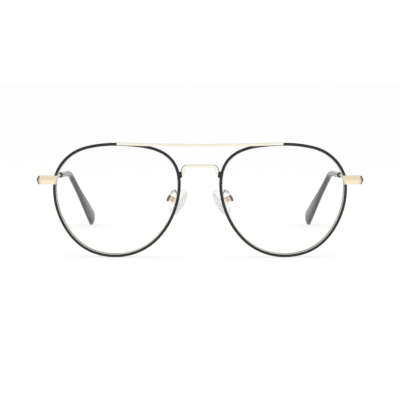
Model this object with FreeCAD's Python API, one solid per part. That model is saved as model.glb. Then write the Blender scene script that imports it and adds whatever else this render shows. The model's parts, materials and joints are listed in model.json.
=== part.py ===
import FreeCAD, Part
import math
import os

# Double bridge glasses with thin metal rims, a straight top bar and a saddle bridge.
#
# The model is drawn in the face frame: x across the face, y from the front towards the ears,
# z up, and the origin midway between the two lens centres. The temples run level in it.
# Every piece is drawn for the wearer's right side, which is -x, and mirrored for the left.
# At the end the glasses are tilted until rims and temple tips rest on z = 0.
# Lengths are in mm and angles in degrees.

# Lenses
lens_width = 52.8
lens_height = 47.8
nose_width = 18.0
lens_curve_radius = 130.0
lens_thickness = 1.4
lens_tilt = 8.2
lens_wrap = 4.0
bevel_width = 1.1

# Lens outline as drawn, from its outer joint round the rim: angles from the nose side, and radii
outline_angles = (162, 180, 205, 235, 270, 300, 330, 360, 380, 396, 412, 430, 450, 472, 490, 506)
outline_radii = (27.15, 25.78, 24.8, 24.8, 24.05, 23.78, 23.96, 25.85, 28.27, 29.32, 27.65, 25.05,
                 24.0, 24.85, 26.6, 27.4)
outline_steps = 30

# Rims: a metal wire with a groove for the lens, enamelled in front and on its outer flank
rim_lip = 0.5
rim_wall = 0.45
rim_depth = 2.15
rim_chamfer = 0.2
groove_clearance = 0.04
rim_split = 0.2
enamel_thickness = 0.25
enamel_chamfer = 0.15
enamel_flank_stop = 0.3
enamel_end_gap = 0.05
solder_gap = 0.01

# Top bar between the rims
bar_length = 69.8
bar_height = 1.2
bar_depth = 1.1
bar_end_rise = 0.35
bar_sag = 0.72
bar_bow = 1.0
bar_clearance = 0.06

# Saddle bridge and its two solder feet
bridge_wire = 1.7
bridge_rise = 14.8
bridge_span = 13.2
bridge_bow = 1.7
bridge_bend = 1.8
bridge_leg_drop = 3.4
bridge_leg_sink = 0.5
lug_height = 2.7
lug_depth = 2.0
lug_width = 1.1
lug_bead = 0.8
lug_drop = 0.35

# Endpieces: a crowned plate that turns back from the rim to the hinge
endpiece_height = 3.6
endpiece_rear_height = 3.4
endpiece_edge = 0.75
endpiece_crown = 0.85
endpiece_reach = 8.2
endpiece_bend = 3.0
endpiece_overlap = 0.75
endpiece_rise = 8.85

# Closing blocks behind the endpiece, which clamp the split rim round the lens
block_width = 2.6
block_depth = 2.3
block_height = 1.8
block_gap = 0.15
rim_screw_diameter = 1.0
rim_screw_head = 1.7
rim_screw_head_height = 0.6
screw_clearance = 0.02
screw_end_inset = 0.2
screw_slot_share = 0.3

# Hinges
hinge_setback = 8.6
hinge_barrel = 2.6
hinge_barrel_height = 3.2
hinge_leaf_length = 3.6
hinge_leaf_thickness = 0.7
hinge_barrel_gap = 0.06
hinge_screw_diameter = 1.2
hinge_screw_head = 1.9
hinge_screw_head_height = 0.4
hinge_running_clearance = 0.05
temple_butt_gap = 0.08

# Temples: a strip that tapers to a wire, which runs on inside the black tip
temple_start_height = 3.4
temple_strip_length = 42.0
temple_wire = 1.15
temple_converge = 2.8
temple_to_bend = 87.2
temple_drop_length = 52.5
temple_drop_angle = 29.8
temple_drop_inward = 10.3
temple_bend = 16.0
tip_start = 57.5
tip_collar = 2.6
tip_paddle_height = 8.2
tip_paddle_thickness = 3.0
tip_round_end = 3.5
tip_swell_start = 21.0
tip_swell_power = 2
tip_wire_clearance = 0.05
tip_wire_end = 12.0
tip_twist = 15.5
tip_steps = 20
tip_end_steps = 6
tip_end_closing = 78
section_steps = 16
surface_fineness = 0.02

# Nose pads, with their screw, box and arm; the profile pairs shares of the depth and of the outline
pad_outset = 0.1
pad_back = 7.0
pad_drop = 0.9
pad_length = 12.4
pad_width = 7.3
pad_thickness = 2.4
pad_frontal_angle = 24.0
pad_splay_angle = 26.0
pad_profile_shares = ((0.0, 0.78), (0.25, 0.95), (0.55, 1.0), (0.85, 0.93), (1.0, 0.78))
pad_taper = 0.12
pad_box_length = 2.8
pad_box_width = 2.6
pad_box_depth = 2.6
pad_box_wall = 0.45
pad_box_corner = 0.9
pad_box_gap = 1.5
pad_screw_diameter = 0.9
pad_screw_head = 1.6
pad_screw_head_height = 0.4
pad_insert_length = 3.4
pad_insert_width = 2.2
pad_insert_thickness = 0.5
pad_lug_height = 1.5
pad_insert_clearance = 0.1
pad_running_clearance = 0.04
pad_arm_wire = 0.95
pad_arm_bend = 1.1
pad_arm_neck = 1.2
pad_arm_root = 2.6
pad_arm_rise = 4.5
pad_arm_inset = 0.95
pad_arm_setback = 3.0
pad_arm_sink = 0.25

os.makedirs("parts", exist_ok=True)

Vector = FreeCAD.Vector
Rotation = FreeCAD.Rotation
Placement = FreeCAD.Placement
ORIGIN = Vector(0, 0, 0)
RIGHT = Vector(1, 0, 0)
BACK = Vector(0, 1, 0)
UP = Vector(0, 0, 1)
parts = {}


def closed_curve(points, parameters):
    """A smooth closed curve through the points, at the given parameters."""
    curve = Part.BSplineCurve()
    curve.interpolate(Points=points, PeriodicFlag=True, Parameters=parameters)
    return curve


def polygon_face(points):
    return Part.Face(Part.makePolygon(list(points) + [points[0]]))


def cylinder(base, axis, length, diameter):
    return Part.makeCylinder(diameter / 2, length, base, axis)


def oriented_box(centre, x_axis, y_axis, size):
    """A box about its centre, with its first two sides along the given directions."""
    z_axis = x_axis.cross(y_axis)
    box = Part.makeBox(size[0], size[1], size[2], Vector(-size[0] / 2, -size[1] / 2, -size[2] / 2))
    box.Placement = Placement(centre, Rotation(x_axis, y_axis, z_axis, "ZXY"))
    return box


def rounded_path(points, radius):
    """Straight runs through the points, joined by tangent arcs."""
    edges = []
    start = points[0]
    for before, corner, after in zip(points, points[1:], points[2:]):
        arriving = (corner - before).normalize()
        leaving = (after - corner).normalize()
        half_turn = arriving.getAngle(leaving) / 2
        setback = radius * math.tan(half_turn)
        first = corner - arriving * setback
        last = corner + leaving * setback
        inward = (leaving - arriving).normalize()
        middle = corner + inward * (radius / math.cos(half_turn) - radius)
        edges.append(Part.LineSegment(start, first).toShape())
        edges.append(Part.Arc(first, middle, last).toShape())
        start = last
    edges.append(Part.LineSegment(start, points[-1]).toShape())
    return Part.Wire(edges)


def along_route(route, run):
    """The point and direction at a length along a wire."""
    for edge in route.Edges:
        if run <= edge.Length:
            break
        run -= edge.Length
    parameter = edge.getParameterByLength(run)
    return edge.valueAt(parameter), edge.tangentAt(parameter)


def round_wire(points, radius, diameter):
    """A round wire bent along the points."""
    path = rounded_path(points, radius)
    direction = (points[1] - points[0]).normalize()
    circle = Part.Wire([Part.Circle(points[0], direction, diameter / 2).toShape()])
    return path.makePipeShell([circle], True, False)


# Lens outline

curve_angles = list(outline_angles) + [outline_angles[0] + 360]
drawn_points = [Vector(radius * math.cos(math.radians(angle)), 0, radius * math.sin(math.radians(angle)))
                for angle, radius in zip(outline_angles, outline_radii)]
drawn_curve = closed_curve(drawn_points, curve_angles)
drawn_samples = [drawn_curve.value(curve_angles[0] + step) for step in range(360)]
drawn_low = Vector(min(p.x for p in drawn_samples), 0, min(p.z for p in drawn_samples))
drawn_high = Vector(max(p.x for p in drawn_samples), 0, max(p.z for p in drawn_samples))
drawn_centre = (drawn_low + drawn_high) * 0.5
width_factor = lens_width / (drawn_high.x - drawn_low.x)
height_factor = lens_height / (drawn_high.z - drawn_low.z)
lens_points = [Vector((p.x - drawn_centre.x) * width_factor, 0, (p.z - drawn_centre.z) * height_factor)
               for p in drawn_points]
lens_curve = closed_curve(lens_points, curve_angles)
lens_reach = max(lens_curve.value(curve_angles[0] + step).Length for step in range(360))

lens_centre_x = (lens_width + nose_width) / 2
lens_place = Placement(Vector(-lens_centre_x, 0, 0), Rotation(RIGHT, lens_tilt) * Rotation(UP, -lens_wrap))
sphere_centre = Vector(0, lens_curve_radius, 0)
bevel_depth = lens_thickness / 2
rim_front = bevel_depth - rim_depth / 2
rim_rear = bevel_depth + rim_depth / 2
enamel_front = rim_front - enamel_thickness
rim_outer = rim_wall + enamel_thickness


def lens_point(angle, outward, depth):
    """A point beside the lens outline: outward from it, and deep behind the front surface."""
    on_curve = lens_curve.value(angle)
    along = lens_curve.tangent(angle)[0]
    across = BACK.cross(along).normalize()
    flat = on_curve + across * outward
    height = math.sqrt(lens_curve_radius ** 2 - flat.x ** 2 - flat.z ** 2)
    on_sphere = Vector(flat.x, lens_curve_radius - height, flat.z)
    return on_sphere + (sphere_centre - on_sphere).normalize() * depth


def face_point(angle, outward, depth):
    """The same point in the face frame, on the right lens."""
    return lens_place.multVec(lens_point(angle, outward, depth))


def angle_at(height, low_angle, high_angle):
    """The outline angle between the two given ones at a height in the face frame."""
    rising = face_point(high_angle, 0, 0).z > face_point(low_angle, 0, 0).z
    for _ in range(40):
        middle = (low_angle + high_angle) / 2
        if (face_point(middle, 0, 0).z < height) == rising:
            low_angle = middle
        else:
            high_angle = middle
    return middle


OUTER_SIDE = (110, 250)
NOSE_SIDE = (-80, 60)
TOP_ANGLE = 450
outer_angle = angle_at(endpiece_rise, *OUTER_SIDE)


def ruled_face(curve, following):
    """The face of straight lines between two curves that share their knots."""
    surface = Part.BSplineSurface()
    surface.buildFromPolesMultsKnots(
        [curve.getPoles(), following.getPoles()], [2, 2], curve.getMultiplicities(),
        [0, 1], curve.getKnots(), False, False, 1, curve.Degree)
    return surface.toShape()


def rim_ring(section):
    """A closed ring along the lens outline, from a section of (outward, depth) corners."""
    angles = [outer_angle + 360 * step / outline_steps for step in range(outline_steps + 1)]
    halfway = angles[outline_steps // 2]
    curves = [closed_curve([lens_point(angle, outward, depth) for angle in angles[:-1]], angles)
              for outward, depth in section]
    faces = []
    for first, last in ((angles[0], halfway), (halfway, angles[-1])):
        halves = [curve.copy() for curve in curves]
        for half in halves:
            half.segment(first, last)
        faces += [ruled_face(*pair) for pair in zip(halves, halves[1:] + halves[:1])]
    shell = Part.makeShell(faces)
    shell.sewShape()
    ring = Part.Solid(shell)
    if ring.Volume < 0:
        ring.reverse()
    ring.Placement = lens_place
    return ring


def solid_of(shape):
    """The largest solid of a shape."""
    return max(shape.Solids, key=lambda solid: solid.Volume)


def add(name, shape):
    """Keep a right-hand piece and its mirror image on the left."""
    parts[name + "_right"] = shape
    parts[name + "_left"] = shape.mirror(ORIGIN, RIGHT)


def mirrored(point):
    return Vector(-point.x, point.y, point.z)


def slab(low, high):
    """An upright box between two corners."""
    size = high - low
    return Part.makeBox(size.x, size.y, size.z, low)


# Lens: a slice of a sphere with a pointed bevel round its edge

lens_shoulder = -(rim_lip + groove_clearance)


def make_lens():
    outer = Part.makeSphere(lens_curve_radius, sphere_centre, UP)
    inner = Part.makeSphere(lens_curve_radius - lens_thickness, sphere_centre, UP)
    margin = lens_thickness
    round_blank = cylinder(-BACK * margin, BACK, lens_reach, (lens_reach + margin) * 2)
    blank = outer.cut(inner).common(round_blank)
    blank.Placement = lens_place
    waste = lens_reach
    edger = rim_ring([
        (lens_shoulder, -margin), (lens_shoulder, bevel_depth - bevel_width / 2), (0, bevel_depth),
        (lens_shoulder, bevel_depth + bevel_width / 2), (lens_shoulder, lens_thickness + margin),
        (waste, lens_thickness + margin), (waste, -margin),
    ])
    return solid_of(blank.cut(edger))


# Rim wire and its enamel

def make_rim():
    inner = -rim_lip
    groove_half = bevel_width / 2 * rim_lip / -lens_shoulder + groove_clearance
    ring = rim_ring([
        (inner, rim_front), (rim_wall, rim_front), (rim_wall, rim_rear - rim_chamfer),
        (rim_wall - rim_chamfer, rim_rear), (inner + rim_chamfer, rim_rear),
        (inner, rim_rear - rim_chamfer), (inner, bevel_depth + groove_half),
        (groove_clearance, bevel_depth), (inner, bevel_depth - groove_half),
    ])
    joint = face_point(outer_angle, 0, bevel_depth)
    half_slot = Vector(rim_depth, rim_depth * 2, rim_split / 2)
    return solid_of(ring.cut(slab(joint - half_slot, joint + half_slot)))


def make_enamel_ring():
    inner = -rim_lip
    return rim_ring([
        (inner, rim_front), (inner, enamel_front + enamel_chamfer),
        (inner + enamel_chamfer, enamel_front), (rim_outer - enamel_chamfer, enamel_front),
        (rim_outer, enamel_front + enamel_chamfer), (rim_outer, rim_rear - enamel_flank_stop),
        (rim_wall, rim_rear - enamel_flank_stop), (rim_wall, rim_front),
    ])


def rim_envelope(clearance):
    """The bare rim wire without its groove, grown by a clearance, to cut a seat for what joins it."""
    return rim_ring([
        (-rim_lip - clearance, rim_front - clearance), (rim_wall + clearance, rim_front - clearance),
        (rim_wall + clearance, rim_rear + clearance), (-rim_lip - clearance, rim_rear + clearance),
    ])


rim_seat = rim_envelope(solder_gap)


# Top bar: a chamfered strip on one shallow arc, soldered to the front of both rims

bar_seat = face_point(TOP_ANGLE, 0, rim_front)
bar_end = Vector(-bar_length / 2, bar_seat.y - bar_depth / 2 - bar_clearance, bar_seat.z + bar_end_rise)
bar_middle = Vector(0, bar_end.y - bar_bow, bar_end.z - bar_sag)


def bar_strip(corners):
    """A strip along the bar's arc, from the (across, rise) corners of its section."""
    arc = Part.Arc(bar_end, bar_middle, mirrored(bar_end))
    along = arc.tangent(arc.FirstParameter)[0]
    inward = along.cross(UP).normalize()
    upward = inward.cross(along)
    section = polygon_face([bar_end + inward * across + upward * rise for across, rise in corners])
    return Part.Wire([arc.toShape()]).makePipeShell([section.OuterWire], True, False)


def make_bar():
    half_depth = bar_depth / 2
    half_height = bar_height / 2
    corner = bar_height / 4
    return bar_strip((
        (half_depth, half_height - corner), (half_depth - corner, half_height),
        (corner - half_depth, half_height), (-half_depth, half_height - corner),
        (-half_depth, corner - half_height), (corner - half_depth, -half_height),
        (half_depth - corner, -half_height), (half_depth, corner - half_height),
    ))


# Saddle bridge: round wire whose legs end on a ribbed foot on the inner flank of each rim

flank_angle = angle_at(bridge_rise - bridge_leg_drop, *NOSE_SIDE)
flank = face_point(flank_angle, rim_wall, bevel_depth)
lug_front = face_point(flank_angle, 0, enamel_front).y
bridge_foot = Vector(flank.x + lug_width, flank.y, flank.z - bridge_leg_sink)
bridge_corner = Vector(-bridge_span / 2, flank.y - bridge_bow, bridge_rise)


def make_bridge():
    route = [bridge_foot, bridge_corner, mirrored(bridge_corner), mirrored(bridge_foot)]
    return round_wire(route, bridge_bend, bridge_wire)


def make_lug():
    level = flank.z - lug_drop
    low = Vector(flank.x - rim_wall, lug_front, level - lug_height / 2)
    high = Vector(flank.x + lug_width, lug_front + lug_depth, level + lug_height / 2)
    lug = slab(low, high)
    for share in (0.25, 0.75):
        start = Vector(high.x, low.y, low.z + lug_height * share)
        lug = lug.fuse(cylinder(start, BACK, lug_depth, lug_bead))
    return lug.removeSplitter()


# Endpiece: the crowned plate swept along its inner face, from over the rim round to the hinge

plate_thickness = endpiece_edge + endpiece_crown
rim_flank = face_point(outer_angle, rim_outer, rim_front)
plate_y = face_point(outer_angle, 0, rim_front).y
temple_along = Vector(math.sin(math.radians(temple_converge)), math.cos(math.radians(temple_converge)), 0)
temple_inward = temple_along.cross(UP)
plate_start = Vector(rim_flank.x + endpiece_overlap, plate_y, endpiece_rise)
plate_corner = Vector(plate_start.x - endpiece_reach + plate_thickness, plate_y, endpiece_rise)
plate_rear = plate_corner + temple_along * (hinge_setback / temple_along.y)


def crowned_section(origin, outward, height, edge, crown):
    """A flat inner side and two sloping facets that meet in a ridge outside."""
    corners = ((0, -0.5), (0, 0.5), (edge, 0.5), (edge + crown, 0), (edge, -0.5))
    return [origin + outward * out + UP * (height * share) for out, share in corners]


def make_endpiece():
    route = rounded_path([plate_start, plate_corner, plate_rear - temple_along * temple_butt_gap],
                         endpiece_bend - plate_thickness)
    corners = crowned_section(plate_start, -BACK, endpiece_height, endpiece_edge, endpiece_crown)
    plate = route.makePipeShell([polygon_face(corners).OuterWire], True, False)
    front_half = endpiece_height / 2
    rear_half = endpiece_rear_height / 2
    front_y = plate_y - plate_thickness
    bend_y = plate_y + endpiece_bend
    profile = polygon_face([
        Vector(0, front_y, front_half), Vector(0, bend_y, front_half), Vector(0, plate_rear.y, rear_half),
        Vector(0, plate_rear.y, -rear_half), Vector(0, bend_y, -front_half), Vector(0, front_y, -front_half),
    ])
    profile.translate(Vector(plate_rear.x * 2, 0, endpiece_rise))
    taper = profile.extrude(RIGHT * -plate_rear.x * 2)
    return solid_of(plate.common(taper).cut(rim_seat))


# Closing blocks: one on each end of the split rim, drawn together by a screw from below

block_outer = Vector(rim_flank.x - block_width, plate_y, endpiece_rise)
block_inner_x = rim_flank.x + rim_outer
rim_screw_axis = Vector((rim_flank.x + block_outer.x) / 2, plate_y + block_depth / 2, endpiece_rise)


def make_upper_block():
    low = Vector(block_outer.x, plate_y, endpiece_rise + rim_split / 2)
    high = Vector(block_inner_x, plate_y + block_depth, endpiece_rise + block_height)
    bore = cylinder(rim_screw_axis, UP, block_height, rim_screw_diameter + screw_clearance)
    return solid_of(slab(low, high).cut(bore).cut(rim_seat))


def make_lower_block():
    low = Vector(block_outer.x, plate_y + block_gap, endpiece_rise - block_height)
    high = Vector(block_inner_x, plate_y + block_depth, endpiece_rise - rim_split / 2)
    bore = cylinder(rim_screw_axis, -UP, block_height, rim_screw_diameter + screw_clearance)
    sink = cylinder(rim_screw_axis - UP * block_height, UP, rim_screw_head_height,
                    rim_screw_head + screw_clearance)
    return solid_of(slab(low, high).cut(bore).cut(sink).cut(rim_seat))


def slotted_screw(head_end, axis, length, diameter, head_diameter, head_height, slot_across):
    """A screw with its head's face at head_end and its point length away along the axis."""
    screw = cylinder(head_end, axis, head_height, head_diameter)
    screw = screw.fuse(cylinder(head_end, axis, length, diameter)).removeSplitter()
    slot_size = (head_diameter * 2, diameter * screw_slot_share, head_height)
    return solid_of(screw.cut(oriented_box(head_end, slot_across, axis.cross(slot_across), slot_size)))


def make_rim_screw():
    head_end = rim_screw_axis - UP * block_height
    length = block_height * 2 - screw_end_inset
    return slotted_screw(head_end, UP, length, rim_screw_diameter, rim_screw_head,
                         rim_screw_head_height, RIGHT)


# Hinge: two knuckles on the endpiece, one on the temple, and a screw down through them

hinge_line = plate_rear + temple_inward * (hinge_barrel / 2 + hinge_barrel_gap)
knuckle = hinge_barrel_height / 3
bare_radius = hinge_barrel / 2 + hinge_barrel_gap


def hinge_level(share):
    """A point on the hinge's axis, at a share of the barrel's height from its middle."""
    return hinge_line + UP * (hinge_barrel_height * share)


def hinge_leaf(direction):
    """The leaf against the inner face, from the hinge's axis along the plate or the temple."""
    middle = plate_rear + direction * (hinge_leaf_length / 2) + temple_inward * (hinge_leaf_thickness / 2)
    size = (hinge_leaf_length, hinge_leaf_thickness, hinge_barrel_height)
    return oriented_box(middle, temple_along, -temple_inward, size)


def barrel_piece(low_share, high_share, diameter, grow):
    """A round piece on the hinge's axis, between two shares of the height, grown at both ends."""
    length = hinge_barrel_height * (high_share - low_share) + 2 * grow
    return cylinder(hinge_level(low_share) - UP * grow, UP, length, diameter)


def make_front_hinge():
    clear = barrel_piece(-1 / 6, 1 / 6, bare_radius * 2, 0)
    hinge = hinge_leaf(-temple_along).cut(clear)
    for low_share, high_share in ((-1 / 2, -1 / 6), (1 / 6, 1 / 2)):
        hinge = hinge.fuse(barrel_piece(low_share, high_share, hinge_barrel, 0))
    bore = barrel_piece(-1 / 2, 1 / 2, hinge_screw_diameter + screw_clearance, hinge_barrel_gap)
    sink = cylinder(hinge_level(1 / 2), -UP, hinge_screw_head_height, hinge_screw_head + screw_clearance)
    return solid_of(hinge.cut(bore).cut(sink).removeSplitter())


def make_temple_hinge():
    hinge = hinge_leaf(temple_along)
    for low_share, high_share in ((-1 / 2, -1 / 6), (1 / 6, 1 / 2)):
        hinge = hinge.cut(barrel_piece(low_share, high_share, bare_radius * 2, hinge_barrel_gap))
    hinge = hinge.fuse(barrel_piece(-1 / 6, 1 / 6, hinge_barrel, -hinge_barrel_gap))
    bore = barrel_piece(-1 / 2, 1 / 2, hinge_screw_diameter + 2 * hinge_running_clearance, 0)
    return solid_of(hinge.cut(bore).removeSplitter())


def make_hinge_screw():
    return slotted_screw(hinge_level(1 / 2), -UP, hinge_barrel_height - screw_end_inset,
                         hinge_screw_diameter, hinge_screw_head, hinge_screw_head_height, RIGHT)


# Temple: crowned strip, then wire to the bend and down inside the tip

temple_start = plate_rear - temple_inward * (plate_thickness / 2)
bend_point = temple_start + temple_along * temple_to_bend
inward_angle = math.radians(temple_drop_inward)
drop_angle = math.radians(temple_drop_angle)
drop_along = Vector(math.sin(inward_angle) * math.cos(drop_angle),
                    math.cos(inward_angle) * math.cos(drop_angle), -math.sin(drop_angle))
drop_side = temple_along.cross(drop_along).normalize()


def down_the_temple(start_run, end_run):
    """Route from start_run behind the hinge, round the bend, to end_run down the drop."""
    return [temple_start + temple_along * start_run, bend_point, bend_point + drop_along * end_run]


def make_temple():
    strip_end = temple_start + temple_along * temple_strip_length
    half = plate_thickness / 2
    wire_half = temple_wire / 2
    sections = [
        crowned_section(temple_start + temple_inward * half, -temple_inward, temple_start_height,
                        endpiece_edge, endpiece_crown),
        crowned_section(strip_end + temple_inward * wire_half, -temple_inward, temple_wire,
                        temple_wire * endpiece_edge / plate_thickness,
                        temple_wire * endpiece_crown / plate_thickness),
    ]
    strip = Part.makeLoft([polygon_face(corners).OuterWire for corners in sections], True, True)
    core = round_wire(down_the_temple(temple_strip_length - temple_wire * 2,
                                      temple_drop_length - tip_wire_end), temple_bend, temple_wire)
    return solid_of(strip.fuse(core))


def tip_section(station, along, height, thickness, twist):
    """A smooth oval across the tip, upright along the drop, turned inwards at its top by twist."""
    rise = Rotation(along, twist).multVec(drop_side.cross(along))
    side = along.cross(rise)
    angles = [360 * step / section_steps for step in range(section_steps + 1)]
    points = [station + rise * (height / 2 * math.cos(math.radians(angle)))
              + side * (thickness / 2 * math.sin(math.radians(angle))) for angle in angles[:-1]]
    return Part.Wire([closed_curve(points, angles).toShape()])


def make_tip():
    route = rounded_path(down_the_temple(tip_start, temple_drop_length), temple_bend)
    widest = route.Length - tip_round_end
    stations = []
    for step in range(tip_steps + 1):
        run = widest * step / tip_steps
        swell = max(0, (run - tip_swell_start) / (widest - tip_swell_start))
        swell = (swell * swell * (3 - 2 * swell)) ** tip_swell_power
        stations.append((run, tip_collar + (tip_paddle_height - tip_collar) * swell,
                         tip_collar + (tip_paddle_thickness - tip_collar) * swell))
    for step in range(1, tip_end_steps + 1):
        closing = math.radians(tip_end_closing * step / tip_end_steps)
        stations.append((widest + tip_round_end * math.sin(closing),
                         tip_paddle_height * math.cos(closing), tip_paddle_thickness * math.cos(closing)))
    sections = []
    for run, height, thickness in stations:
        station, along = along_route(route, run)
        sections.append(tip_section(station, along, height, thickness, tip_twist * run / route.Length))
    sleeve = Part.makeLoft(sections, True, False)
    bore = round_wire(down_the_temple(tip_start - tip_collar, temple_drop_length - tip_wire_end
                                      + tip_wire_clearance), temple_bend,
                      temple_wire + 2 * tip_wire_clearance)
    return solid_of(sleeve.cut(bore))


# Nose pad: soft pillow on an insert that rocks on a screw in a small box, held by a bent arm

pad_centre = Vector(-(nose_width / 2 + pad_outset), face_point(0, 0, rim_rear).y + pad_back, -pad_drop)
frontal = math.radians(pad_frontal_angle)
splay = math.radians(pad_splay_angle)
pad_up = Vector(math.sin(frontal), 0, math.cos(frontal))
pad_level = Vector(math.cos(frontal), 0, -math.sin(frontal))
pad_normal = pad_level * math.cos(splay) + BACK * math.sin(splay)
pad_across = BACK * math.cos(splay) - pad_level * math.sin(splay)
pad_back_face = pad_centre - pad_normal * (pad_thickness / 2)
box_mouth = pad_back_face - pad_normal * pad_box_gap
box_centre = box_mouth - pad_normal * (pad_box_depth / 2)
pad_channel = pad_box_width - 2 * pad_box_wall
pad_lug_width = pad_channel - 2 * pad_insert_clearance


def pad_outline(level, share):
    """A drop-shaped closed wire, narrower at the top, at a level through the pad."""
    angles = [360 * step / section_steps for step in range(section_steps + 1)]
    points = []
    for angle in angles[:-1]:
        rise = math.cos(math.radians(angle))
        reach = math.sin(math.radians(angle)) * (1 - pad_taper * rise)
        points.append(pad_back_face + pad_normal * level + pad_up * (pad_length / 2 * share * rise)
                      + pad_across * (pad_width / 2 * share * reach))
    return Part.Wire([closed_curve(points, angles).toShape()])


def make_insert():
    plate_middle = pad_back_face + pad_normal * (pad_insert_thickness / 2)
    plate = oriented_box(plate_middle, pad_up, pad_across,
                         (pad_insert_length, pad_insert_width, pad_insert_thickness))
    lug_reach = pad_box_gap + pad_box_depth / 2
    lug_middle = pad_back_face - pad_normal * (lug_reach / 2)
    lug = oriented_box(lug_middle, pad_up, pad_across, (pad_lug_height, pad_lug_width, lug_reach))
    round_end = cylinder(box_centre - pad_across * (pad_lug_width / 2), pad_across, pad_lug_width,
                         pad_lug_height)
    bore = cylinder(box_centre - pad_across * pad_box_width, pad_across, pad_box_width * 2,
                    pad_screw_diameter + 2 * pad_running_clearance)
    return solid_of(plate.fuse(lug).fuse(round_end).cut(bore).removeSplitter())


def make_pad(insert):
    pillow = Part.makeLoft([pad_outline(pad_thickness * level, share) for level, share in pad_profile_shares],
                           True, False)
    return solid_of(pillow.cut(insert))


def make_pad_box():
    size = (pad_box_length, pad_box_width, pad_box_depth)
    box = oriented_box(box_centre, pad_up, pad_across, size)
    channel = oriented_box(box_centre + pad_normal * pad_box_wall, pad_up, pad_across,
                           (pad_box_length * 2, pad_channel, pad_box_depth))
    bore = cylinder(box_centre - pad_across * pad_box_width, pad_across, pad_box_width * 2,
                    pad_screw_diameter + screw_clearance)
    corners = [edge for edge in box.Edges if abs(edge.tangentAt(0).dot(pad_normal)) > 0.9]
    return solid_of(box.makeFillet(pad_box_corner, corners).cut(channel).cut(bore))


def make_pad_screw():
    head_end = box_centre - pad_across * (pad_box_width / 2 + pad_screw_head_height)
    length = pad_box_width + pad_screw_head_height
    return slotted_screw(head_end, pad_across, length, pad_screw_diameter, pad_screw_head,
                         pad_screw_head_height, pad_up)


def make_pad_arm():
    middle = (rim_wall - rim_lip) / 2
    start = face_point(angle_at(pad_arm_root, *NOSE_SIDE), middle, rim_rear - pad_arm_sink)
    back_wall = box_centre - pad_normal * ((pad_box_depth - pad_box_wall) / 2)
    foot = back_wall + pad_up * (pad_box_length / 2 + solder_gap)
    neck = foot + pad_up * pad_arm_neck
    shoulder = Vector(start.x - pad_arm_inset, start.y + pad_arm_setback, pad_arm_rise)
    arm = round_wire([start, shoulder, neck, foot], pad_arm_bend, pad_arm_wire)
    return solid_of(arm.cut(rim_seat))


# Assembly

lug = solid_of(make_lug().cut(rim_seat))
mirrored_lug = lug.mirror(ORIGIN, RIGHT)
parts["bridge"] = solid_of(make_bridge().cut(lug).cut(mirrored_lug))
parts["top_bar"] = make_bar()
add("bridge_lug", lug)
add("rim", make_rim())
add("lens", make_lens())

# The enamel stops at the endpiece, is parted at the bar's end, shows as a thin lip under the bar
# and gives way to the bridge's foot.
end_half = endpiece_height / 2 + enamel_end_gap
side_low = Vector(plate_start.x - rim_depth, rim_front - rim_depth, endpiece_rise - end_half)
side_high = Vector(plate_start.x + rim_depth, plate_y + rim_depth * 2, endpiece_rise + end_half)
seam_low = Vector(bar_end.x - enamel_end_gap, bar_end.y - bar_depth, bar_end.z - bar_height * 2)
seam_high = Vector(bar_end.x + enamel_end_gap, bar_end.y + rim_depth * 2, bar_end.z + bar_height)
bar_room_depth = rim_depth * 2
bar_room_low = -(bar_height / 2 + enamel_end_gap)
bar_room = bar_strip(((-bar_room_depth, bar_room_low), (bar_room_depth, bar_room_low),
                      (bar_room_depth, bar_height), (-bar_room_depth, bar_height)))
enamel = make_enamel_ring().cut(bar_room)
for low, high in ((side_low, side_high), (seam_low, seam_high)):
    enamel = enamel.cut(slab(low, high))
enamel_runs = sorted(enamel.Solids, key=lambda solid: solid.Volume)
add("enamel_upper", enamel_runs[-2])
add("enamel_lower", solid_of(enamel_runs[-1].cut(lug)))

add("endpiece", make_endpiece())
add("closing_block_upper", make_upper_block())
add("closing_block_lower", make_lower_block())
add("rim_screw", make_rim_screw())
add("hinge_front", make_front_hinge())
add("hinge_temple", make_temple_hinge())
add("hinge_screw", make_hinge_screw())
add("temple", make_temple())
add("temple_tip", make_tip())
pad_insert = make_insert()
add("pad_insert", pad_insert)
add("nose_pad", make_pad(pad_insert))
add("pad_box", make_pad_box())
add("pad_screw", make_pad_screw())
add("pad_arm", make_pad_arm())


# Rest: the glasses stand on the bottoms of both rims and on both temple tips

def surface_points(shape):
    return shape.tessellate(surface_fineness)[0]


def lowest(points, tilt):
    """Height of the lowest of the points when the rear is tilted down by an angle."""
    lowering = math.sin(math.radians(tilt))
    keeping = math.cos(math.radians(tilt))
    return min(point.z * keeping - point.y * lowering for point in points)


rim_points = surface_points(parts["enamel_lower_right"])
tip_points = surface_points(parts["temple_tip_right"])
least_tilt = 0
most_tilt = lens_tilt
for _ in range(30):
    rest_tilt = (least_tilt + most_tilt) / 2
    if lowest(tip_points, rest_tilt) > lowest(rim_points, rest_tilt):
        least_tilt = rest_tilt
    else:
        most_tilt = rest_tilt

tilting = Rotation(RIGHT, -rest_tilt)
front_y = min(tilting.multVec(point).y for point in surface_points(parts["bridge"])
              + surface_points(parts["top_bar"]) + surface_points(parts["lens_right"]))
rear_y = max(tilting.multVec(point).y for point in tip_points)
rest_shift = Vector(0, -(front_y + rear_y) / 2, -lowest(rim_points, rest_tilt))
rest_place = Placement(rest_shift, tilting)

for name, shape in parts.items():
    shape.Placement = rest_place.multiply(shape.Placement)
    shape.exportStep("parts/" + name + ".step")
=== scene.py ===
import json
import math

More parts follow.
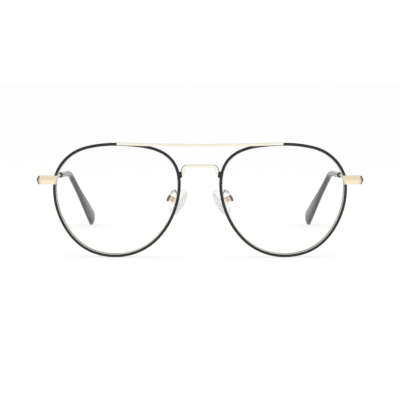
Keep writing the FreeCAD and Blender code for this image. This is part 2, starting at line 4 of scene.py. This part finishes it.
import bmesh
import bpy
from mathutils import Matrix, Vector


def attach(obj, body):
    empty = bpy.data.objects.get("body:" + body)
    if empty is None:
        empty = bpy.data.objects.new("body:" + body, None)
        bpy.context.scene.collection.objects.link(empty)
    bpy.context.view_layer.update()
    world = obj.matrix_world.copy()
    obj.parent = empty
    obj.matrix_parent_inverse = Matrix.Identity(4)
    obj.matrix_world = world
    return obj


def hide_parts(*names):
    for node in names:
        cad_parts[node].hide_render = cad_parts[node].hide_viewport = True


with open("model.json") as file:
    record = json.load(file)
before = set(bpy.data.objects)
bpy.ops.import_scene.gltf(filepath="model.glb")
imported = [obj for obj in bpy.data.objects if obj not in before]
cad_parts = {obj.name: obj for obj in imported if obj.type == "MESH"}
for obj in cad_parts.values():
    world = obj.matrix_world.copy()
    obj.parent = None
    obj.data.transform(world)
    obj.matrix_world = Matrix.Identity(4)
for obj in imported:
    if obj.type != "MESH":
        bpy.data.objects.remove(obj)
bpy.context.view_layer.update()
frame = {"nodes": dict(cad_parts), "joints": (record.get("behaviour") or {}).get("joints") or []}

scene = bpy.context.scene

# Camera: as the photograph, 0.6 m in front of the lenses and a little above them
CAMERA_PLACE = (0, -0.67042, 0.07595)
CAMERA_PITCH = 4.865
CAMERA_LENS = 128.5
CAMERA_SENSOR = 36
CAMERA_CLIP = 0.01

# Light: a plain soft studio. Reflections see a sky that is dimmer higher up and dark behind at both sides
WORLD_LIGHT = 0.98
SKY_GLOSS = 0.84
SKY_RISE = (0.1, 0.5)
SKY_SIDE = (0.25, 0.5)
SKY_REAR = (-0.1, 0.2)
REAR_DARKNESS = 0.9
KEY_POWER = 0.7
KEY_SIZE = (0.8, 0.5)
KEY_PLACE = (-0.08, -0.25, 0.6)

# Floor: white, and partly glowing where the camera, reflections or the lenses see it
FLOOR_SIZE = 60
FLOOR_COLOUR = (0.97, 0.97, 0.97)
FLOOR_CLOUDS = 3
FLOOR_CLOUD_SHADE = 0.99
FLOOR_GLOW_SHARE = 0.62

# Painted dark reflections: floor patches, black only where reflections see them, in place of dark cards. Over
# what distance sideways and rearwards they set in
DARK_REFLECTION_SIDE = (0.085, 0.13)
DARK_REFLECTION_REAR = (-0.12, -0.03)

# The range that most of a noise lies in
NOISE_RANGE = (0.3, 0.7)

# Surface grain: noise scales per metre, bump strengths, and bump depths in metres
METAL_CLOUDS = 260
METAL_MARKS = 5200
METAL_MARK_STRENGTH = 0.06
METAL_MARK_DEPTH = 0.00002
LACQUER_CLOUDS = 420
LACQUER_PEEL = 1500
LACQUER_PEEL_STRENGTH = 0.08
LACQUER_PEEL_DEPTH = 0.00004
COAT_ROUGHNESS = 0.05
CLEAR_HAZE = 900
FROST_GRAINS = 6000
FROST_SHADE = 0.94
FROST_GLOW_SHARE = 0.5

# How far forward or back a lens face points: from the ground edge to the polished faces
EDGE_FACING = (0.80, 0.88)


# Node helpers

def new_material(name):
    """An empty node material with an output."""
    material = bpy.data.materials.new(name)
    material.use_nodes = True
    material.node_tree.nodes.clear()
    return material, Nodes(material.node_tree)


class Nodes:
    """Short calls to make and join nodes."""

    def __init__(self, tree):
        self.tree = tree

    def make(self, kind, settings=None, **inputs):
        node = self.tree.nodes.new(kind)
        for key, value in (settings or {}).items():
            setattr(node, key, value)
        for key, value in inputs.items():
            self.put(node, key.replace("_", " "), value)
        return node

    def put(self, node, socket, value):
        if isinstance(value, bpy.types.NodeSocket):
            self.tree.links.new(value, node.inputs[socket])
        else:
            node.inputs[socket].default_value = value

    def math(self, operation, first, second=0.0, clamp=False):
        node = self.make("ShaderNodeMath", {"operation": operation, "use_clamp": clamp})
        self.put(node, 0, first)
        self.put(node, 1, second)
        return node.outputs[0]

    def mix_shader(self, share, first, second):
        node = self.make("ShaderNodeMixShader")
        self.put(node, 0, share)
        self.put(node, 1, first)
        self.put(node, 2, second)
        return node.outputs[0]

    def noise(self, scale, detail, stretch=None):
        """Noise over the object's own space, in metres."""
        place = self.make("ShaderNodeTexCoord").outputs["Object"]
        if stretch:
            place = self.make("ShaderNodeMapping", Vector=place, Scale=stretch).outputs["Vector"]
        return self.make("ShaderNodeTexNoise", Vector=place, Scale=scale, Detail=detail).outputs["Fac"]

    def ranged(self, value, low, high, from_low=NOISE_RANGE[0], from_high=NOISE_RANGE[1]):
        """The value carried over from one range to another, and held at its ends."""
        node = self.make("ShaderNodeMapRange", Value=value)
        limits = {"From Min": from_low, "From Max": from_high, "To Min": low, "To Max": high}
        for socket, number in limits.items():
            node.inputs[socket].default_value = number
        return node.outputs["Result"]

    def tones(self, noise, first, second):
        """A colour that goes from the first to the second with the noise."""
        node = self.make("ShaderNodeValToRGB", Fac=noise)
        for element, position, colour in zip(node.color_ramp.elements, NOISE_RANGE, (first, second)):
            element.position = position
            element.color = (*colour, 1)
        return node.outputs["Color"]

    def bump(self, height, strength, distance):
        node = self.make("ShaderNodeBump", Height=height, Strength=strength, Distance=distance)
        return node.outputs["Normal"]

    def output(self, shader, kind="ShaderNodeOutputMaterial"):
        self.make(kind, Surface=shader)


# Materials

def metal(name, dark, light, roughness, grain=(1, 1, 1)):
    """Plated metal: slight tone clouds, fine polishing marks and a little unevenness."""
    material, nodes = new_material(name)
    marks = nodes.noise(METAL_MARKS, 2, stretch=grain)
    shader = nodes.make("ShaderNodeBsdfPrincipled", Metallic=1.0,
                        Roughness=nodes.ranged(marks, *roughness),
                        Normal=nodes.bump(marks, METAL_MARK_STRENGTH, METAL_MARK_DEPTH))
    nodes.put(shader, "Base Color", nodes.tones(nodes.noise(METAL_CLOUDS, 3), dark, light))
    nodes.output(shader.outputs["BSDF"])
    return material


def lacquer(name, dark, light, ior, roughness, coat):
    """Black enamel or polished acetate: faint clouds, a little orange peel and a thin clear coat."""
    material, nodes = new_material(name)
    peel = nodes.noise(LACQUER_PEEL, 2)
    shader = nodes.make("ShaderNodeBsdfPrincipled", IOR=ior,
                        Roughness=nodes.ranged(peel, *roughness),
                        Normal=nodes.bump(peel, LACQUER_PEEL_STRENGTH, LACQUER_PEEL_DEPTH))
    nodes.put(shader, "Base Color", nodes.tones(nodes.noise(LACQUER_CLOUDS, 4), dark, light))
    nodes.put(shader, "Coat Weight", coat)
    nodes.put(shader, "Coat Roughness", COAT_ROUGHNESS)
    nodes.output(shader.outputs["BSDF"])
    return material


def clear_shader(nodes, tint, shade, ior, roughness, clarity):
    """A clear body. Shadow and diffuse rays, and a share of all others, pass straight through."""
    haze = nodes.noise(CLEAR_HAZE, 3)
    shader = nodes.make("ShaderNodeBsdfPrincipled", IOR=ior, Roughness=nodes.ranged(haze, *roughness))
    nodes.put(shader, "Transmission Weight", 1.0)
    nodes.put(shader, "Base Color", nodes.tones(haze, tint, shade))
    rays = nodes.make("ShaderNodeLightPath").outputs
    passing = nodes.math("MAXIMUM", rays["Is Shadow Ray"], rays["Is Diffuse Ray"])
    through = nodes.make("ShaderNodeBsdfTransparent", Color=(*shade, 1))
    share = nodes.math("MAXIMUM", passing, clarity)
    return nodes.mix_shader(share, shader.outputs["BSDF"], through.outputs["BSDF"])


def clear(name, tint, shade, ior, roughness, clarity):
    material, nodes = new_material(name)
    nodes.output(clear_shader(nodes, tint, shade, ior, roughness, clarity))
    return material


def lens_glass(name, frost, tint, shade, ior, roughness):
    """Clear polished faces, front and back, and a finely ground white bevel round the edge."""
    material, nodes = new_material(name)
    flat_normal = nodes.make("ShaderNodeNewGeometry").outputs["True Normal"]
    facing = nodes.make("ShaderNodeSeparateXYZ", Vector=flat_normal).outputs["Y"]
    ground = nodes.ranged(nodes.math("ABSOLUTE", facing), 1, 0, *EDGE_FACING)
    shaded_frost = tuple(channel * FROST_SHADE for channel in frost)
    grains = nodes.tones(nodes.noise(FROST_GRAINS, 2), shaded_frost, frost)
    matt = nodes.make("ShaderNodeBsdfDiffuse", Color=grains)
    glowing = nodes.make("ShaderNodeBsdfTranslucent", Color=grains)
    frosted = nodes.mix_shader(FROST_GLOW_SHARE, matt.outputs["BSDF"], glowing.outputs["BSDF"])
    polished = clear_shader(nodes, tint, shade, ior, roughness, clarity=0)
    nodes.output(nodes.mix_shader(ground, polished, frosted))
    return material


PLATE_ROUGHNESS = (0.14, 0.22)
GOLD = metal("gold_plate", (0.965, 0.80, 0.56), (0.99, 0.85, 0.63), PLATE_ROUGHNESS)
PALE_GOLD = metal("pale_gold_plate", (0.95, 0.885, 0.76), (0.975, 0.925, 0.82), PLATE_ROUGHNESS)
SCREW = metal("screw_metal", (0.60, 0.47, 0.34), (0.70, 0.57, 0.43), (0.2, 0.32), grain=(1, 1, 6))
ENAMEL = lacquer("black_enamel", (0.006, 0.0065, 0.006), (0.011, 0.012, 0.011), 1.43, (0.28, 0.4), 0.1)
ACETATE = lacquer("black_acetate", (0.006, 0.006, 0.006), (0.014, 0.014, 0.0135), 1.38, (0.08, 0.14), 0.02)
LENS = lens_glass("clear_lens", (0.95, 0.95, 0.94), (0.985, 0.99, 0.988), (0.995, 0.998, 0.997), 1.5,
                  (0.0, 0.004))
SILICONE = clear("clear_silicone", (0.94, 0.95, 0.945), (0.975, 0.98, 0.975), 1.41, (0.04, 0.12), 0.75)
INSERT = clear("clear_insert", (0.90, 0.89, 0.86), (0.95, 0.94, 0.92), 1.5, (0.05, 0.1), 0.5)

MATERIAL_OF = {
    "top_bar": PALE_GOLD, "bridge": PALE_GOLD, "bridge_lug": ENAMEL, "rim": PALE_GOLD, "lens": LENS,
    "enamel_upper": ENAMEL, "enamel_lower": ENAMEL, "endpiece": GOLD,
    "closing_block_upper": PALE_GOLD, "closing_block_lower": PALE_GOLD, "rim_screw": SCREW,
    "hinge_front": GOLD, "hinge_temple": GOLD, "hinge_screw": SCREW,
    "temple": GOLD, "temple_tip": ACETATE, "pad_insert": INSERT, "nose_pad": SILICONE,
    "pad_box": GOLD, "pad_screw": SCREW, "pad_arm": PALE_GOLD,
}


def dress(piece, material):
    piece.data.materials.clear()
    piece.data.materials.append(material)


for name, piece in frame["nodes"].items():
    dress(piece, MATERIAL_OF[name.removesuffix("_right").removesuffix("_left")])


# Nose pads: soft pillows in place of the plain solids

PAD_SEGMENTS = 40
PAD_TAPER = 0.12
PAD_SUBDIVISIONS = 2
# From the middle of the back, out round the edge, to the middle of the front: shares of reach and depth
PAD_PROFILE = ((0.0, 0.14), (0.22, 0.14), (0.34, 0.10), (0.44, 0.02), (0.70, 0.0), (0.90, 0.08), (0.99, 0.28),
               (1.0, 0.50), (0.97, 0.72), (0.86, 0.89), (0.64, 0.97), (0.34, 1.0), (0.0, 1.0))


def reach_along(points, direction):
    """The least and the greatest distance of the points along a direction."""
    distances = [point.dot(direction) for point in points]
    return min(distances), max(distances)


def pad_directions(joint, points):
    """Upward along the pad's face, across it along its screw, and out of its face."""
    across = Vector(joint["axis"]).normalized()
    from_screw = sum(points, Vector()) / len(points) - Vector(joint["pos_m"])
    outward = (from_screw - across * from_screw.dot(across)).normalized()
    upward = outward.cross(across)
    if upward.z < 0:
        upward = -upward
    return upward, across, outward


def make_pad_rings(mesh, joint, points):
    """The pad's rings of corners from back to front, of which the first and the last are one point."""
    upward, across, outward = pad_directions(joint, points)
    up_low, up_high = reach_along(points, upward)
    across_low, across_high = reach_along(points, across)
    back, front = reach_along(points, outward)
    middle = upward * ((up_low + up_high) / 2) + across * ((across_low + across_high) / 2)
    half_up = upward * ((up_high - up_low) / 2)
    half_across = across * ((across_high - across_low) / 2)
    rings = []
    for reach, depth in PAD_PROFILE:
        centre = middle + outward * (back + (front - back) * depth)
        if reach == 0:
            rings.append([mesh.verts.new(centre)] * PAD_SEGMENTS)
            continue
        ring = []
        for step in range(PAD_SEGMENTS):
            angle = math.tau * step / PAD_SEGMENTS
            rise = math.cos(angle)
            swing = math.sin(angle) * (1 - PAD_TAPER * rise)
            ring.append(mesh.verts.new(centre + half_up * (reach * rise) + half_across * (reach * swing)))
        rings.append(ring)
    return rings


def make_pad(side):
    """A drop-shaped silicone pillow with a round edge, a crowned face and a shallow pocket behind."""
    node = "nose_pad_" + side
    joint = next(joint for joint in frame["joints"] if joint["child"] == "pad_" + side)
    points = [vertex.co.copy() for vertex in frame["nodes"][node].data.vertices]
    mesh = bmesh.new()
    rings = make_pad_rings(mesh, joint, points)
    for inner, outer in zip(rings, rings[1:]):
        for step in range(PAD_SEGMENTS):
            corners = [inner[step], inner[step - 1], outer[step - 1], outer[step]]
            mesh.faces.new(list(dict.fromkeys(corners)))
    bmesh.ops.recalc_face_normals(mesh, faces=mesh.faces)
    for face in mesh.faces:
        face.smooth = True
    data = bpy.data.meshes.new("silicone_pad_" + side)
    mesh.to_mesh(data)
    mesh.free()
    pad = bpy.data.objects.new("silicone_pad_" + side, data)
    scene.collection.objects.link(pad)
    smoothing = pad.modifiers.new("smoothing", "SUBSURF")
    smoothing.levels = smoothing.render_levels = PAD_SUBDIVISIONS
    dress(pad, SILICONE)
    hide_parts(node)
    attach(pad, "pad_" + side)


for side in ("right", "left"):
    make_pad(side)


# Floor, world, lamp and camera

def make_floor():
    bpy.ops.mesh.primitive_plane_add(size=FLOOR_SIZE, location=(0, 0, 0))
    floor = bpy.context.object
    floor.name = "floor"
    material, nodes = new_material("floor")
    shaded = tuple(channel * FLOOR_CLOUD_SHADE for channel in FLOOR_COLOUR)
    clouds = nodes.tones(nodes.noise(FLOOR_CLOUDS, 4), shaded, FLOOR_COLOUR)
    diffuse = nodes.make("ShaderNodeBsdfDiffuse", Color=clouds)
    glow = nodes.make("ShaderNodeEmission", Strength=1.0)
    rays = nodes.make("ShaderNodeLightPath").outputs
    seen = nodes.math("MAXIMUM", nodes.math("MAXIMUM", rays["Is Camera Ray"], rays["Is Glossy Ray"]),
                      rays["Is Transmission Ray"])
    share = nodes.math("MULTIPLY", seen, FLOOR_GLOW_SHARE)
    white = nodes.mix_shader(share, diffuse.outputs["BSDF"], glow.outputs["Emission"])
    position = nodes.make("ShaderNodeNewGeometry").outputs["Position"]
    place = nodes.make("ShaderNodeSeparateXYZ", Vector=position).outputs
    # Painted dark reflections: the floor turns black at the sides behind, for glossy rays only
    sideways = nodes.ranged(nodes.math("ABSOLUTE", place["X"]), 0, 1, *DARK_REFLECTION_SIDE)
    rearward = nodes.ranged(place["Y"], 0, 1, *DARK_REFLECTION_REAR)
    dark_reflection = nodes.math("MULTIPLY", nodes.math("MULTIPLY", sideways, rearward), REAR_DARKNESS)
    dark = nodes.make("ShaderNodeBsdfDiffuse", Color=(0, 0, 0, 1))
    reflected = nodes.math("SUBTRACT", rays["Is Glossy Ray"], rays["Is Transmission Ray"], clamp=True)
    dark_reflection_share = nodes.math("MULTIPLY", dark_reflection, reflected)
    nodes.output(nodes.mix_shader(dark_reflection_share, white, dark.outputs["BSDF"]))
    floor.data.materials.append(material)


def make_world():
    world = bpy.data.worlds.new("studio")
    world.use_nodes = True
    world.node_tree.nodes.clear()
    nodes = Nodes(world.node_tree)
    rays = nodes.make("ShaderNodeLightPath").outputs
    seen = nodes.math("MAXIMUM", rays["Is Camera Ray"], rays["Is Transmission Ray"])
    direction = nodes.make("ShaderNodeTexCoord").outputs["Generated"]
    along = nodes.make("ShaderNodeSeparateXYZ", Vector=direction).outputs
    sideways = nodes.ranged(nodes.math("ABSOLUTE", along["X"]), 0, 1, *SKY_SIDE)
    rearward = nodes.ranged(along["Y"], 0, 1, *SKY_REAR)
    dark = nodes.math("MULTIPLY", nodes.math("MULTIPLY", sideways, rearward), REAR_DARKNESS)
    sky = nodes.ranged(along["Z"], 1, SKY_GLOSS, *SKY_RISE)
    reflected = nodes.math("MULTIPLY", sky, nodes.math("SUBTRACT", 1.0, dark))
    glossy = nodes.math("MULTIPLY", rays["Is Glossy Ray"], reflected)
    bright = nodes.math("MAXIMUM", seen, glossy)
    neither = nodes.math("SUBTRACT", 1.0, nodes.math("MAXIMUM", seen, rays["Is Glossy Ray"]))
    strength = nodes.math("ADD", bright, nodes.math("MULTIPLY", neither, WORLD_LIGHT))
    light = nodes.make("ShaderNodeBackground", Color=(1, 1, 1, 1), Strength=strength)
    nodes.output(light.outputs["Background"], "ShaderNodeOutputWorld")
    scene.world = world


def make_key():
    lamp = bpy.data.lights.new("key", "AREA")
    lamp.shape = "RECTANGLE"
    lamp.size, lamp.size_y = KEY_SIZE
    lamp.energy = KEY_POWER
    key = bpy.data.objects.new("key", lamp)
    key.location = KEY_PLACE
    key.rotation_euler = (-Vector(KEY_PLACE)).to_track_quat("-Z", "Y").to_euler()
    key.visible_glossy = False
    scene.collection.objects.link(key)


def make_camera():
    data = bpy.data.cameras.new("camera")
    data.lens = CAMERA_LENS
    data.sensor_width = CAMERA_SENSOR
    data.clip_start = CAMERA_CLIP
    camera = bpy.data.objects.new("camera", data)
    camera.location = CAMERA_PLACE
    camera.rotation_euler = (math.radians(90 - CAMERA_PITCH), 0, 0)
    scene.collection.objects.link(camera)
    scene.camera = camera


make_floor()
make_world()
make_key()
make_camera()
scene.view_settings.view_transform = "Standard"
